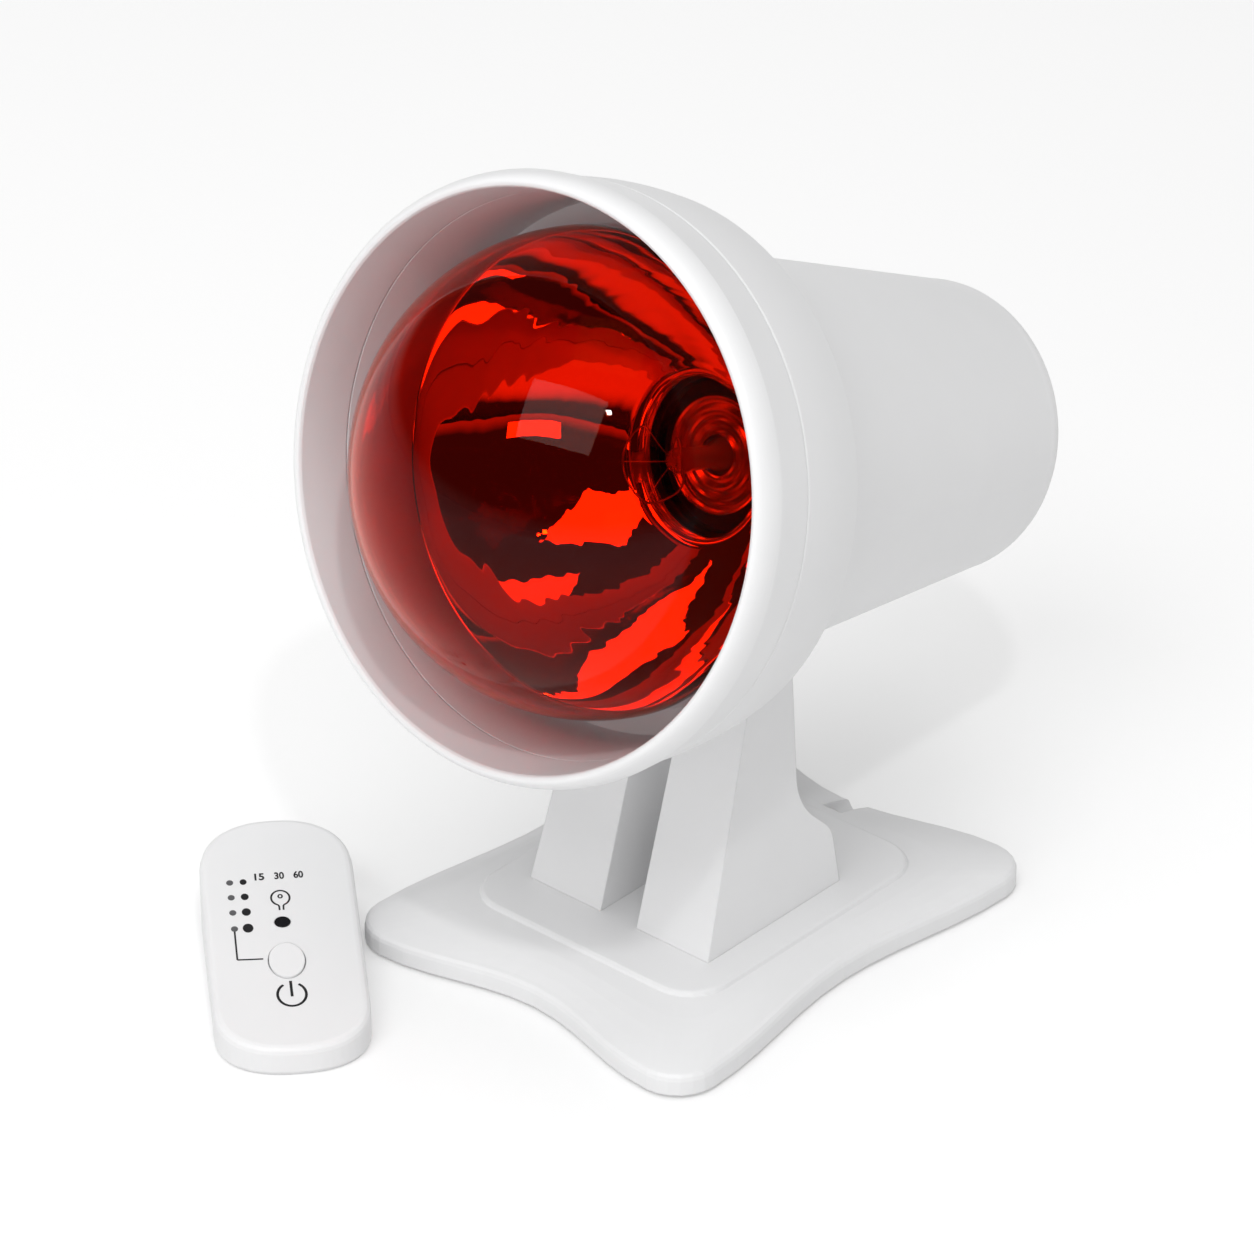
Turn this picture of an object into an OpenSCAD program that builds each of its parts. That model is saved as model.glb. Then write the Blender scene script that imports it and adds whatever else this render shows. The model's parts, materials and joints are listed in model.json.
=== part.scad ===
// Infrared heat therapy lamp with a tilting head on a two-pillar stand,
// and the small handset that switches it. Millimetres, +Z up.
// The origin is the centre of the base plate's underside.
// The lamp faces -Y, and its left and right are -X and +X.

/* [Base] */
// Width of the base across its corners
base_w = 115; // [108:1:150]
// Depth of the base from front to rear
base_d = 140; // [130:1:176]
// Corner radius of the base
base_corner_r = 12; // [10:1:18]
// How far the front edge of the base curves in
base_front_sag = 8.6; // [4:0.5:12]
// How far each side of the base curves in
base_side_sag = 6.6; // [3:0.5:9]
// How far the rear edge of the base curves in
base_rear_sag = 9; // [2:0.5:11]
// Height of the base's upright edge
base_edge_h = 6; // [5:0.5:10]
// Rounding along the top of the base's edge
base_edge_r = 2; // [1:0.25:3]
// Rise of the base's crown from its edge to the plateau
base_crown = 3.2; // [2.8:0.1:7]
// Wall of the base cover
base_wall = 2.4; // [1.8:0.1:3]
// Width of the plateau that carries the pillars
plateau_w = 80; // [74:1:86]
// Depth of the plateau
plateau_d = 92; // [86:1:98]
// Centre of the plateau behind the base's centre
plateau_y = 0.6; // [-2:0.2:3]
// Corner radius of the plateau
plateau_r = 12; // [8:1:16]
// Height of the plateau's own small step
plateau_step = 1.2; // [0.8:0.1:2.4]
// Thickness of the base plate
plate_t = 2; // [1.5:0.1:3]
// Diameter of each rubber foot
foot_d = 13; // [9:0.5:15]
// How far the rubber feet stand below the base plate
foot_out = 1; // [0.6:0.1:2]
// Depth of the seat of a foot in the base plate
foot_seat = 0.8; // [0.4:0.1:1.2]
// Distance of the base screws from the base's sides
base_screw_in = 21; // [19:0.5:24]
// Length of the steel ballast, front to rear
ballast_d = 44; // [36:1:46]
// Width of the steel ballast
ballast_w = 64; // [50:1:66]
// Thickness of the steel ballast
ballast_t = 4.5; // [3:0.25:5]
// Width of the control board
board_w = 52; // [44:1:60]
// Depth of the control board
board_d = 17; // [14:1:19]
// Thickness of the control board
board_t = 1.6; // [1:0.1:2]

/* [Cord entry] */
// Radius of the scoop in the base's rear edge
scoop_r = 3.2; // [2.9:0.1:3.6]
// Height of the scoop's axis above the base plate's underside
scoop_z = 5.2; // [5:0.1:6.5]
// Sideways place of the scoop
scoop_x = 5; // [-8:0.5:8]
// Where the scoop's inner end stands behind the base's centre
scoop_y = 50; // [49.5:0.5:53]
// Radius of the hole through the cord gland
gland_bore_r = 2.2; // [1.6:0.1:2.4]
// Wall of the cord gland
gland_wall = 0.6; // [0.4:0.1:0.7]

/* [Pillars] */
// Gap between the two pillars
pillar_gap = 12.2; // [11:0.1:15]
// Width of each pillar at its foot
pillar_w = 24.2; // [21:0.1:26]
// Front of the pillars' feet, ahead of the base's centre
pillar_front = 29.1; // [27:0.1:33]
// Lean of the pillars' front faces, in degrees from upright
pillar_lean = 16.7; // [14:0.1:18]
// Lean of the pillars' outer faces, in degrees from upright
pillar_taper = 3.5; // [0:0.1:4.5]
// Rear of the pillars above their flared feet, behind the base's centre
pillar_rear = 7.4; // [6:0.1:9]
// Height above the plateau at which the flare of the feet starts
flare_h = 37.6; // [35:0.1:41]
// Steepest lean of the flare, in degrees from upright
flare_lean = 46; // [40:1:55]
// Radius of the hollow curve above the flare
flare_r1 = 20; // [16:0.5:22]
// Radius of the round shoulder below the flare
flare_r2 = 10; // [8:0.5:12]
// Length of the straight slope between the two curves of the flare
flare_run = 6; // [4:0.5:9]
// Wall of the hollow pillars
pillar_wall = 2.6; // [2:0.1:3.4]
// Sideways offset of the pillar screws from the pillars' inner faces
pillar_screw_x = 11.5; // [9:0.5:13]
// Front pillar screws, ahead of the base's centre
pillar_screw_front = 18; // [15:0.5:20]
// Rear pillar screws, behind the base's centre
pillar_screw_rear = 15; // [13:0.5:16]

/* [Tilt joint] */
// Height of the tilt axis above the base plate's underside
pivot_z = 70; // [66:0.5:76]
// Tilt axis behind the base's centre
pivot_y = -2.2; // [-4:0.1:-1]
// Tilt of the head above level, in degrees
head_tilt = 17.1; // [0:0.1:20]
// Distance of the tilt axis below the lamp's own axis
pivot_drop = 60.7; // [60:0.1:66]
// Distance of the tilt axis behind the front of the shade
pivot_back = 84.7; // [80:0.1:92]
// Radius of the pivot pin
pin_r = 4; // [3:0.1:4.4]
// Length of the pivot pin
pin_l = 34; // [28:1:38]
// Running clearance round the pin in the lug
pin_run = 0.05; // [0.02:0.01:0.1]
// Thickness of each friction washer
washer_t = 1; // [0.6:0.1:1.4]
// Radius of the friction washers
washer_r = 8; // [7:0.1:8.6]
// Radius of the lug's eye
lug_r = 9; // [8.8:0.1:9.6]
// Side clearance at each face of a friction washer
side_gap = 0.1; // [0.05:0.05:0.2]
// Clearance between the pillars' saddles and the housing
saddle_gap = 1; // [0.6:0.1:1.4]

/* [Shade] */
// Greatest radius of the shade, at its lip
shade_r = 75; // [74.5:0.5:80]
// Depth of the lip's rounded nose
lip_depth = 7; // [4:0.5:9]
// Width of the lip seen from the front
lip_w = 4; // [3:0.2:5]
// Radius of the shade at its rear edge
shade_rear_r = 68.3; // [66:0.1:70]
// Length of the shade, front to rear
shade_l = 45.4; // [43.6:0.1:52]
// Distance of the seam behind the front of the shade
seam_d = 20; // [16:1:24]
// Wall of the shade at its rear
shade_wall = 2.4; // [2:0.1:3]
// Swell of the shade's rear part over a straight cone
shade_swell = 0.8; // [0:0.1:1.5]
// Rounding of the shade's rear edge
shade_edge_r = 2; // [1:0.25:3]
// Length of the spigot that centres the shade's front part
spigot_l = 4; // [3:0.5:6]
// Fit clearance of the spigot
spigot_gap = 0.15; // [0.1:0.05:0.3]

/* [Housing] */
// Radius of the housing where it meets the shade
house_r = 55.4; // [55:0.1:57]
// Radius of the housing at its rear, before its rounding
house_rear_r = 38.5; // [36:0.1:42]
// Distance of the housing's rear behind the front of the shade
house_end = 176; // [172:1:190]
// Rounding of the housing's rear edge
house_round = 10; // [8:0.5:13]
// Wall of the housing
house_wall = 2; // [1.8:0.1:2.4]
// Thickness of the flange that holds the housing in the shade
flange_t = 2.2; // [1.8:0.1:3]
// Radius of the housing's flange
flange_r = 60; // [59.5:0.25:60.5]
// Thickness of the vented rear cap
cap_t = 2.5; // [2:0.1:3]
// Clearance round the vented rear cap
cap_gap = 0.3; // [0.2:0.05:0.5]
// Width of the ledge that carries the rear cap
cap_ledge = 4.5; // [4:0.25:6]
// Width of a vent slot in the rear cap
vent_w = 2.2; // [1.5:0.1:2.4]
// Distance from one vent slot to the next
vent_pitch = 4.4; // [4:0.1:6]

/* [Bulb] */
// Greatest radius of the bulb
bulb_r = 60.5; // [59:0.5:62]
// Height of the bulb's dome ahead of its greatest radius
bulb_dome = 59; // [50:1:60]
// Distance of the bulb's greatest radius behind the front of the shade
bulb_d = 28.4; // [26:0.1:30]
// Fullness of the bulb's shoulder: 1 is a plain paraboloid
bulb_full = 1.12; // [1:0.01:1.2]
// Depth of the bulb's paraboloid from its greatest radius to its neck
bulb_cone = 41.6; // [38:0.1:46]
// Radius of the bulb's neck
neck_r = 21.5; // [19:0.5:22]
// Space between the lampholder's bracket and the rear of the housing
rear_space = 19.4; // [17:0.1:24]
// Thickness of the bulb's glass
glass_t = 1.2; // [0.8:0.1:1.6]
// Thickness of the mirror lining behind the glass
mirror_t = 0.4; // [0.3:0.1:0.6]
// Radius of the bulb's screw cap
screw_cap_r = 13.2; // [13:0.1:13.4]
// Length of the bulb's screw cap
screw_cap_l = 24; // [22:0.5:26]
// Distance of the filament behind the bulb's greatest radius
filament_d = 23.6; // [16:0.1:26]
// Radius of the filament's ring
filament_r = 10; // [8:0.5:13]
// Radius of the wound filament
filament_wire = 0.8; // [0.6:0.1:1]
// Distance of the stem's tip behind the filament
stem_back = 7; // [5:0.5:9]
// Radius of the heat disc in the bulb's neck
disc_r = 15; // [12:0.5:16]
// Distance of the heat disc behind the mouth of the neck
disc_back = 8; // [6:0.5:12]
// Number of filament supports
supports = 5; // [4:1:7]

/* [Lampholder] */
// Radius of the ceramic lampholder
holder_r = 20.5; // [19:0.5:22]
// Fit clearance round the screw cap
holder_gap = 0.35; // [0.3:0.05:0.6]
// Wall at the closed end of the lampholder
holder_end = 8; // [7:0.5:10]
// Thickness of the lampholder's bracket
bracket_t = 1.5; // [1.2:0.1:2]
// Width of the bracket
bracket_w = 20; // [16:1:24]
// Distance of the bracket screws from the lamp's axis
bracket_screw = 28; // [27:0.5:29]

/* [Handset] */
// Length of the handset
remote_l = 87.5; // [84:0.5:100]
// Width of the handset
remote_w = 39.5; // [38:0.5:44]
// Thickness of the handset at its near end
remote_t0 = 8; // [8:0.2:10]
// Slope of the handset's face, in degrees
remote_slope = 8.6; // [8.4:0.1:11]
// Rounding along the edge of the handset's face
remote_edge_r = 1.8; // [1:0.2:2.4]
// Wall of the handset
remote_wall = 1.6; // [1.2:0.1:2]
// Near end of the handset, sideways from the base's centre
remote_x = -24; // [-45:0.1:-22]
// Near end of the handset, ahead of the base's centre
remote_y = -122; // [-136:0.1:-120]
// Turn of the handset on the table, in degrees
remote_turn = 138.5; // [134:0.5:140]
// Distance of the button's centre ahead of the battery door
button_ahead = 4.9; // [4.8:0.1:7]
// Width of the button
button_w = 9.6; // [8.6:0.1:10.4]
// Length of the button
button_l = 13.4; // [11:0.1:13.8]
// Clearance round the button
button_gap = 0.25; // [0.15:0.05:0.4]
// Travel of the button
button_travel = 0.6; // [0.4:0.05:0.7]
// How far the button stands proud of the face
button_out = 0.4; // [0.2:0.05:0.8]
// Distance of the indicator lens from the button's centre
lens_apart = 14.6; // [12:0.1:16]
// Radius of the indicator lens
lens_r = 2; // [1.6:0.1:2.4]
// Width of the battery door
door_w = 26; // [24:0.5:27]
// Length of the battery door
door_l = 49; // [47.5:0.5:50]
// Thickness of the battery door
door_t = 1.2; // [1:0.1:1.4]
// Clearance round the battery door
door_gap = 0.3; // [0.2:0.05:0.4]

/* [Hidden] */
$fn = 96;
e = 0.01;

white = [0.93, 0.93, 0.93];
grey = [0.55, 0.56, 0.57];
dark = [0.13, 0.13, 0.14];
steel = [0.72, 0.73, 0.75];
brass = [0.80, 0.66, 0.36];
red = [0.75, 0.05, 0.03];
board_green = [0.12, 0.38, 0.22];
stone = [0.86, 0.84, 0.80];

// Heights of the stand
crown_z = base_edge_h + base_crown;
plateau_z = crown_z + plateau_step;
ceiling_z = plateau_z - base_wall;
plateau_in = 1.2;

// Screw sizes used across the lamp
m3_r = 1.5;
m3_pilot = 1.3;
m3_free = 1.7;
m3_head_r = 2.9;
m3_head_h = 1.8;
m4_r = 2;
m4_pilot = 1.75;
m4_free = 2.3;
m4_head_r = 3.6;
m4_head_h = 2.4;

// ---- general helpers -------------------------------------------------

// A straight-sided screw: shank from 0 to l along +Z, head below 0
module screw(r, l, head_r, head_h) {
    rotate_extrude()
        polygon([[0, -head_h], [head_r * 0.8, -head_h], [head_r, -head_h * 0.7],
            [head_r, 0], [r, 0], [r, l - r * 0.6], [r * 0.5, l], [0, l]]);
}

// Points of a rounded rectangle with n points to each corner and m to a side
function corner_arc(cx, cy, r, a0, n) =
    [for (i = [0:n - 1]) let (a = a0 + 90 * i / (n - 1))
        [cx + r * cos(a), cy + r * sin(a)]];

// One bowed side from p to q with its inward unit normal v and its sag s
function bowed(p, q, v, s, m) =
    [for (i = [1:m]) let (t = i / (m + 1), k = cos(180 * (t - 0.5)))
        p + (q - p) * t + v * s * k * k];

corner_n = 7;
side_n = 11;

// Closed outline with round corners and bowed sides, in by d on every side
function bowed_outline(w, l, r, sag_f, sag_s, sag_r, d) =
    let (hx = w / 2 - r, hy = l / 2 - r, q = r - d)
    concat(
        corner_arc(hx, hy, q, 0, corner_n),
        bowed([hx, hy + q], [-hx, hy + q], [0, -1], sag_r, side_n),
        corner_arc(-hx, hy, q, 90, corner_n),
        bowed([-hx - q, hy], [-hx - q, -hy], [1, 0], sag_s, side_n),
        corner_arc(-hx, -hy, q, 180, corner_n),
        bowed([-hx, -hy - q], [hx, -hy - q], [0, 1], sag_f, side_n),
        corner_arc(hx, -hy, q, 270, corner_n),
        bowed([hx + q, -hy], [hx + q, hy], [-1, 0], sag_s, side_n));

function lift(pts, z) = [for (p = pts) [p[0], p[1], z]];
function middle(a) = [for (p = a) 1] * a / len(a);
function blend(a, b, t) = [for (i = [0:len(a) - 1]) a[i] * (1 - t) + b[i] * t];

// A closed solid through rings of equally many points, bottom ring first
module loft(rings) {
    n = len(rings[0]);
    k = len(rings);
    pts = concat([for (r = rings) each r], [middle(rings[0]), middle(rings[k - 1])]);
    sides = [for (j = [0:k - 2], i = [0:n - 1]) each
        [[j * n + i, (j + 1) * n + i, (j + 1) * n + (i + 1) % n],
        [j * n + i, (j + 1) * n + (i + 1) % n, j * n + (i + 1) % n]]];
    ends = [for (i = [0:n - 1]) each [[k * n, i, (i + 1) % n],
        [k * n + 1, (k - 1) * n + (i + 1) % n, (k - 1) * n + i]]];
    polyhedron(pts, concat(sides, ends));
}

// ---- base ------------------------------------------------------------

function base_line(d) = bowed_outline(base_w, base_d, base_corner_r,
    base_front_sag, base_side_sag, base_rear_sag, d);
function plateau_line(d) = [for (p = bowed_outline(plateau_w, plateau_d,
    plateau_r, 0, 0, 0, d)) [p[0], p[1] + plateau_y]];

// The base's outer form, or its inner form when moved in and down by the wall
module base_form(in, down, floor) {
    edge_z = base_edge_h - down;
    top_z = crown_z - down;
    rim = base_line(in + base_edge_r);
    foot = plateau_line(in);
    loft(concat(
        [lift(base_line(in), floor)],
        [for (a = [0:30:90]) lift(base_line(in + base_edge_r * (1 - cos(a))),
            edge_z - base_edge_r * (1 - sin(a)))],
        [for (t = [0.2, 0.45, 0.7, 1]) lift(blend(rim, foot, t),
            edge_z + base_crown * (1 - pow(1 - t, 1.6)))],
        [lift(plateau_line(in + plateau_in * 0.4), top_z + plateau_step * 0.7)],
        [lift(plateau_line(in + plateau_in), top_z + plateau_step)]));
}

module scoop_bar(r, y0) {
    translate([scoop_x, base_d, scoop_z]) rotate([90, 0, 0]) cylinder(r = r, h = base_d - y0);
    translate([scoop_x - r, y0, scoop_z]) cube([2 * r, base_d - y0, base_edge_h + base_crown]);
}

base_screw_x = base_w / 2 - base_screw_in;
base_screw_y = base_d / 2 - base_screw_in;
pillar_screw_ys = [-pillar_screw_front, pillar_screw_rear];
pillar_screw_off = pillar_gap / 2 + pillar_screw_x;
gland_r = gland_bore_r + gland_wall;
scoop_wall = 2;
gland_lip = 0.25;
boss_r = 3.6;
seat_gap = 0.1;

module at_base_screws() {
    for (sx = [-1, 1], sy = [-1, 1])
        translate([sx * base_screw_x, sy * base_screw_y, 0]) children();
}

module at_pillar_screws(sides) {
    for (sx = sides, y = pillar_screw_ys)
        translate([sx * pillar_screw_off, y, 0]) children();
}

module base_cover() color(white) difference() {
    union() {
        difference() {
            base_form(0, 0, 0);
            base_form(base_wall, base_wall, -1);
        }
        intersection() {
            base_form(0, 0, 0);
            translate([0, 0, plate_t + seat_gap]) union() {
                at_base_screws() cylinder(r = boss_r, h = plateau_z);
                translate([scoop_x - scoop_r - scoop_wall, scoop_y - scoop_wall, 0])
                    cube([2 * (scoop_r + scoop_wall), base_d / 2, plateau_z]);
            }
        }
    }
    scoop_bar(scoop_r, scoop_y);
    translate([scoop_x, scoop_y + e, scoop_z]) rotate([90, 0, 0])
        cylinder(r = gland_r + seat_gap, h = scoop_wall + 1);
    translate([scoop_x, scoop_y - scoop_wall, scoop_z]) rotate([90, 0, 0])
        cylinder(r = gland_r + gland_lip + 0.2, h = 10);
    at_base_screws() translate([0, 0, -1]) cylinder(r = m3_pilot, h = base_edge_h);
    at_pillar_screws([-1, 1]) cylinder(r = m4_free, h = plateau_z + 1);
}

foot_x = base_w / 2 - base_corner_r + 1;
foot_y = base_d / 2 - base_corner_r + 1;
module at_feet() {
    for (sx = [-1, 1], sy = [-1, 1]) translate([sx * foot_x, sy * foot_y, 0]) children();
}

module base_plate() color(white) difference() {
    union() {
        linear_extrude(plate_t) polygon(base_line(base_wall + 0.4));
        at_board_posts() cylinder(r = 2.6, h = board_z);
    }
    at_feet() translate([0, 0, -1]) cylinder(r = foot_d / 2 + seat_gap, h = 1 + foot_seat);
    at_base_screws() translate([0, 0, -1]) cylinder(r = m3_free, h = plate_t + 2);
    at_base_screws() translate([0, 0, -1]) cylinder(r = m3_head_r + 0.3, h = 1 + base_head_in);
    at_board_posts() translate([0, 0, -1]) cylinder(r = m3_pilot, h = board_z + 2);
}

module rubber_feet() color(dark) at_feet()
    translate([0, 0, -foot_out]) rotate_extrude()
        polygon([[0, 0], [foot_d / 2 - 0.5, 0], [foot_d / 2, 0.5],
            [foot_d / 2, foot_out + foot_seat], [0, foot_out + foot_seat]]);

base_head_in = 1;
module base_screws() color(steel) at_base_screws() translate([0, 0, base_head_in])
    screw(m3_r - 0.25, base_edge_h - base_wall - base_head_in, m3_head_r, base_head_in - 0.1);

// The ballast lies on the base plate under the front of the plateau
ballast_y = -plateau_d / 2 + plateau_y + base_wall + 6;
module ballast() color(grey) difference() {
    translate([-ballast_w / 2, ballast_y, plate_t]) cube([ballast_w, ballast_d, ballast_t]);
    at_pillar_screws([-1, 1]) cylinder(r = m4_head_r + 1.6, h = plateau_z);
    at_base_screws() cylinder(r = boss_r + 1, h = plateau_z);
}

// The control board stands on posts behind the ballast
board_z = plate_t + 1.2;
board_y = pillar_screw_rear + m4_head_r + 1.2;
module at_board_posts() {
    for (sx = [-1, 1]) translate([sx * (board_w / 2 - 5), board_y + board_d / 2, 0]) children();
}

module control_board() color(board_green) difference() {
    translate([-board_w / 2, board_y, board_z]) cube([board_w, board_d, board_t]);
    at_board_posts() cylinder(r = m3_free, h = plateau_z);
}

part_h = ceiling_z - board_z - board_t - 0.5;
module board_parts() color(dark) translate([0, board_y + 2, board_z + board_t]) {
    translate([-14, 0, 0]) cube([12, board_d - 4, part_h]);
    translate([1, 1, 0]) cube([9, 6, part_h - 0.6]);
    translate([4, 10.5, 0]) cylinder(d = 3.6, h = part_h - 1);
    translate([10.5, 9, 0]) cube([6, 3, 1.2]);
}

module board_screws() color(steel) at_board_posts()
    translate([0, 0, board_z + board_t]) rotate([180, 0, 0])
        screw(m3_r - 0.25, board_z + board_t - 1, m3_head_r - 0.2, m3_head_h);

module cord_gland() color(white)
    translate([scoop_x, scoop_y, scoop_z]) rotate([90, 0, 0]) difference() {
        union() {
            translate([0, 0, -1]) cylinder(r = scoop_r - 0.1, h = 1);
            cylinder(r = gland_r, h = scoop_wall);
            translate([0, 0, scoop_wall])
                cylinder(r1 = gland_r + gland_lip, r2 = gland_r - gland_lip, h = 1.6);
        }
        translate([0, 0, -2]) cylinder(r = gland_bore_r, h = scoop_wall + 5);
    }

// ---- pillars ---------------------------------------------------------

pillar_top = pivot_z + pivot_drop;
lean_run = tan(pillar_lean);
taper_run = tan(pillar_taper);
flare_z = plateau_z + flare_h;

// The rear edge of a pillar: a hollow curve, a slope and a round shoulder
function flare_line(n) =
    let (y1 = pillar_rear + flare_r1 * (1 - cos(flare_lean)),
        z1 = flare_z - flare_r1 * sin(flare_lean),
        y2 = y1 + flare_run * sin(flare_lean), z2 = z1 - flare_run * cos(flare_lean),
        end = 8)
    concat(
        [for (i = [0:n]) let (a = flare_lean * i / n)
            [pillar_rear + flare_r1 * (1 - cos(a)), flare_z - flare_r1 * sin(a)]],
        [for (i = [0:n]) let (a = flare_lean + (end - flare_lean) * i / n)
            [y2 + flare_r2 * (cos(a) - cos(flare_lean)),
            z2 - flare_r2 * (sin(flare_lean) - sin(a))]]);

rear_line = flare_line(8);
shoulder = rear_line[len(rear_line) - 1];
foot_rear = shoulder[0] + (shoulder[1] - plateau_z) * tan(8);

function front_at(z) = -pillar_front + (z - plateau_z) * lean_run;

module pillar_side_view() polygon(concat(
    [[front_at(pillar_top), pillar_top], [pillar_rear, pillar_top]],
    rear_line, [[foot_rear, plateau_z], [-pillar_front, plateau_z]]));

module pillar_hollow_view() {
    top = flare_z - 3;
    polygon([[front_at(plateau_z - 1) + pillar_wall, plateau_z - 1],
        [front_at(top) + pillar_wall, top], [pillar_rear - pillar_wall, top],
        [pillar_rear - pillar_wall, flare_z - flare_r1],
        [foot_rear - pillar_wall - flare_r2, plateau_z + flare_r2],
        [foot_rear - pillar_wall, plateau_z + 2], [foot_rear - pillar_wall, plateau_z - 1]]);
}

// A side view in the YZ plane carried across from x0 to x1
module across(x0, x1) translate([x0, 0, 0]) rotate([90, 0, 90])
    linear_extrude(x1 - x0) children();

inner_x = pillar_gap / 2;
outer_x = inner_x + pillar_w;
function outer_at(z) = outer_x - (z - plateau_z) * taper_run;

// A front view in the XZ plane carried from front to rear
module lengthways() translate([0, base_d / 2, 0]) rotate([90, 0, 0])
    linear_extrude(base_d) children();

house_slope = (house_r - house_rear_r) / (house_end - house_round - shade_l);
function house_at(d) = house_r - (d - shade_l) * house_slope;
saddle_r = house_at(pivot_back) + saddle_gap;

// The ring-shaped space that the tilting housing sweeps above the pillars
module saddle() translate([0, pivot_y, pivot_z]) rotate([0, 90, 0])
    rotate([0, 0, 90]) rotate_extrude(angle = 180)
        translate([pivot_drop, 0]) circle(r = saddle_r);

module right_pillar_body() difference() {
    intersection() {
        across(inner_x, outer_x) pillar_side_view();
        lengthways() polygon([[inner_x, plateau_z], [outer_x, plateau_z],
            [outer_at(pillar_top), pillar_top], [inner_x, pillar_top]]);
    }
    difference() {
        intersection() {
            across(inner_x + pillar_wall, outer_x) pillar_hollow_view();
            lengthways() polygon([[inner_x, plateau_z - 1], [outer_x - pillar_wall, plateau_z - 1],
                [outer_at(pillar_top) - pillar_wall, pillar_top], [inner_x, pillar_top]]);
        }
        at_pillar_screws([1]) cylinder(r = boss_r, h = pillar_top);
    }
    saddle();
    at_pillar_screws([1]) translate([0, 0, plateau_z - 1]) cylinder(r = m4_pilot, h = 15);
    translate([0, pivot_y, pivot_z]) rotate([0, 90, 0])
        cylinder(r = pin_r, h = pin_l / 2 + 0.5);
}

module right_pillar() color(white) right_pillar_body();
module left_pillar() color(white) mirror([1, 0, 0]) right_pillar_body();

module pillar_screws() color(steel) at_pillar_screws([-1, 1])
    translate([0, 0, ceiling_z]) screw(m4_pilot, 14, m4_head_r, m4_head_h);

module pivot_pin() color(steel) translate([-pin_l / 2, pivot_y, pivot_z])
    rotate([0, 90, 0]) rotate_extrude()
        polygon([[0, 0], [pin_r - 0.5, 0], [pin_r, 0.5], [pin_r, pin_l - 0.5],
            [pin_r - 0.5, pin_l], [0, pin_l]]);

module friction_washers() color(dark) for (s = [-1, 1])
    translate([s * (inner_x - side_gap - washer_t / 2), pivot_y, pivot_z])
        rotate([0, 90, 0]) difference() {
            cylinder(r = washer_r, h = washer_t, center = true);
            cylinder(r = pin_r + pin_run, h = washer_t + 2, center = true);
        }

// ---- head: +Z forward along the lamp's axis from the front of the shade

module in_head() translate([0, pivot_y, pivot_z]) rotate([90 - head_tilt, 0, 0])
    translate([0, pivot_drop, pivot_back]) children();

shade_slope = (shade_r - shade_rear_r) / (shade_l - lip_depth);
function shade_at(d) = shade_r - (d - lip_depth) * shade_slope
    + (d > seam_d ? shade_swell * sin(180 * (d - seam_d) / (shade_l - seam_d)) : 0);
lip_r = shade_r - lip_w;
inner_slope = (lip_r - shade_rear_r + shade_wall) / shade_l;
function inner_at(d) = lip_r - d * inner_slope;
seam_cut = 0.25;

// Half of a rounded nose: from the front plane to the greatest radius
function lip_line(n) = [for (i = [0:n]) let (a = 90 * i / n)
    [shade_r - (lip_w - 1) * (1 - sin(a)), -lip_depth * (1 - cos(a))]];

module front_shade() color(white) in_head() rotate_extrude($fn = 128) polygon(concat(
    [[inner_at(1), -1], [lip_r + 0.3, -0.3], [lip_r + 1, 0]],
    lip_line(8),
    [[shade_at(seam_d - 0.6), -seam_d + 0.6], [shade_at(seam_d) - seam_cut, -seam_d],
    [spigot_r + spigot_gap, -seam_d], [spigot_r + spigot_gap, -seam_d + spigot_l + 0.3],
    [inner_at(seam_d - spigot_l - 0.3), -seam_d + spigot_l + 0.3]]));

spigot_r = inner_at(seam_d) + 1.3;
web_in = house_r + 0.2;
web_d = shade_l - flange_t - 0.2;

module shade_collar() color(white) in_head() difference() {
    rotate_extrude($fn = 128) polygon(concat(
        [[inner_at(seam_d - spigot_l), -seam_d + spigot_l], [spigot_r, -seam_d + spigot_l],
        [spigot_r, -seam_d], [shade_at(seam_d) - seam_cut, -seam_d]],
        [for (i = [0:10]) let (d = seam_d + 0.6 + (shade_l - shade_edge_r - seam_d - 0.6) * i / 10)
            [shade_at(d), -d]],
        [for (a = [30:30:90]) [shade_at(shade_l - shade_edge_r) - shade_edge_r * (1 - cos(a)),
            -shade_l + shade_edge_r * (1 - sin(a))]],
        [[web_in, -shade_l], [web_in, -web_d], [inner_at(web_d), -web_d]]));
    at_collar_screws() translate([0, 0, -0.8]) cylinder(r = 0.9, h = shade_l);
}

collar_screw_r = (house_r + flange_r) / 2 + 0.2;
module at_collar_screws() {
    for (a = [45:90:315]) rotate([0, 0, a]) translate([collar_screw_r, 0, -shade_l + 1.4]) children();
}

module collar_screws() color(steel) in_head() at_collar_screws()
    translate([0, 0, shade_l - 1.4 - web_d + flange_t]) rotate([180, 0, 0])
        screw(0.9, flange_t + 1, 1.7, 1.1);

// The housing's outer line from the flange's front to the rear opening
cap_r = house_rear_r - house_round;
function house_round_line(n, q) = [for (i = [0:n]) let (a = 90 * i / n)
    [cap_r + (house_round - q) * cos(a), -house_end + house_round - (house_round - q) * sin(a)]];

module house_form(q) rotate_extrude($fn = 128) polygon(concat(
    [[0, -shade_l], [house_at(shade_l) - q, -shade_l]],
    house_round_line(10, q), [[0, -house_end + q]]));

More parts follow.
